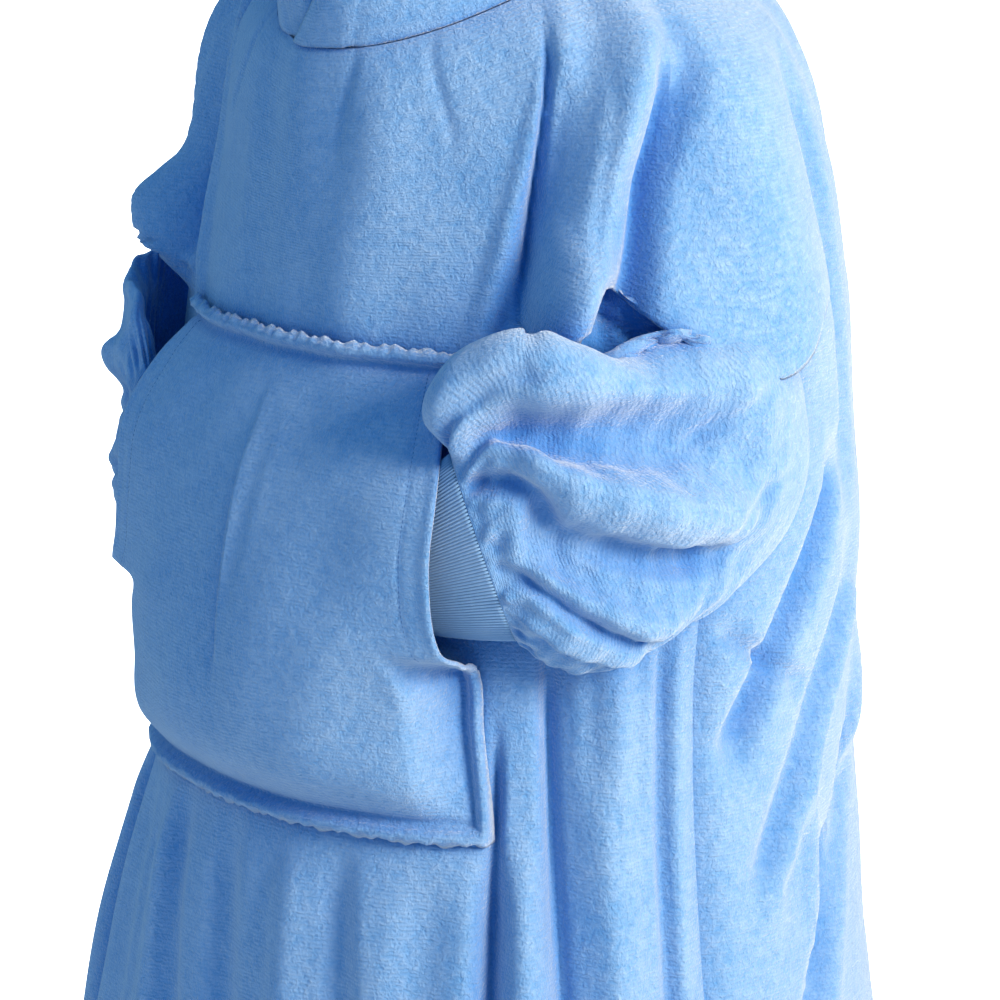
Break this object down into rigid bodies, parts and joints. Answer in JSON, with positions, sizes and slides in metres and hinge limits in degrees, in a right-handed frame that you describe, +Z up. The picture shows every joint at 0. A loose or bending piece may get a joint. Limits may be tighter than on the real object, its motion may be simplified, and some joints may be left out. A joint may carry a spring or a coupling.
{
  "type": "wearable blanket hoodie",
  "caption": "Oversize plush blanket hoodie in its worn pose, hood up, both cuffs in one wide front pocket.",
  "frame": {"origin": "on the upright axis of the body, level with the base of the wearer's neck at the shoulders, which hold the garment up", "axes": "+Z up along the wearer's body, -Y towards the front, +X towards the wearer's left"},
  "size_m": [0.6298, 0.5861, 1.2504],
  "materials": {
    "plush_fleece": "sky-blue brushed plush fleece",
    "rib_knit": "sky-blue rib knit"
  },
  "bodies": {
    "root": {"front_panel": "plush_fleece", "back_panel": "plush_fleece", "pocket": "plush_fleece", "sleeve_left": "plush_fleece", "sleeve_right": "plush_fleece", "cuff_left": "rib_knit", "cuff_right": "rib_knit", "hood_left": "plush_fleece", "hood_right": "plush_fleece"}
  },
  "joints": []
}
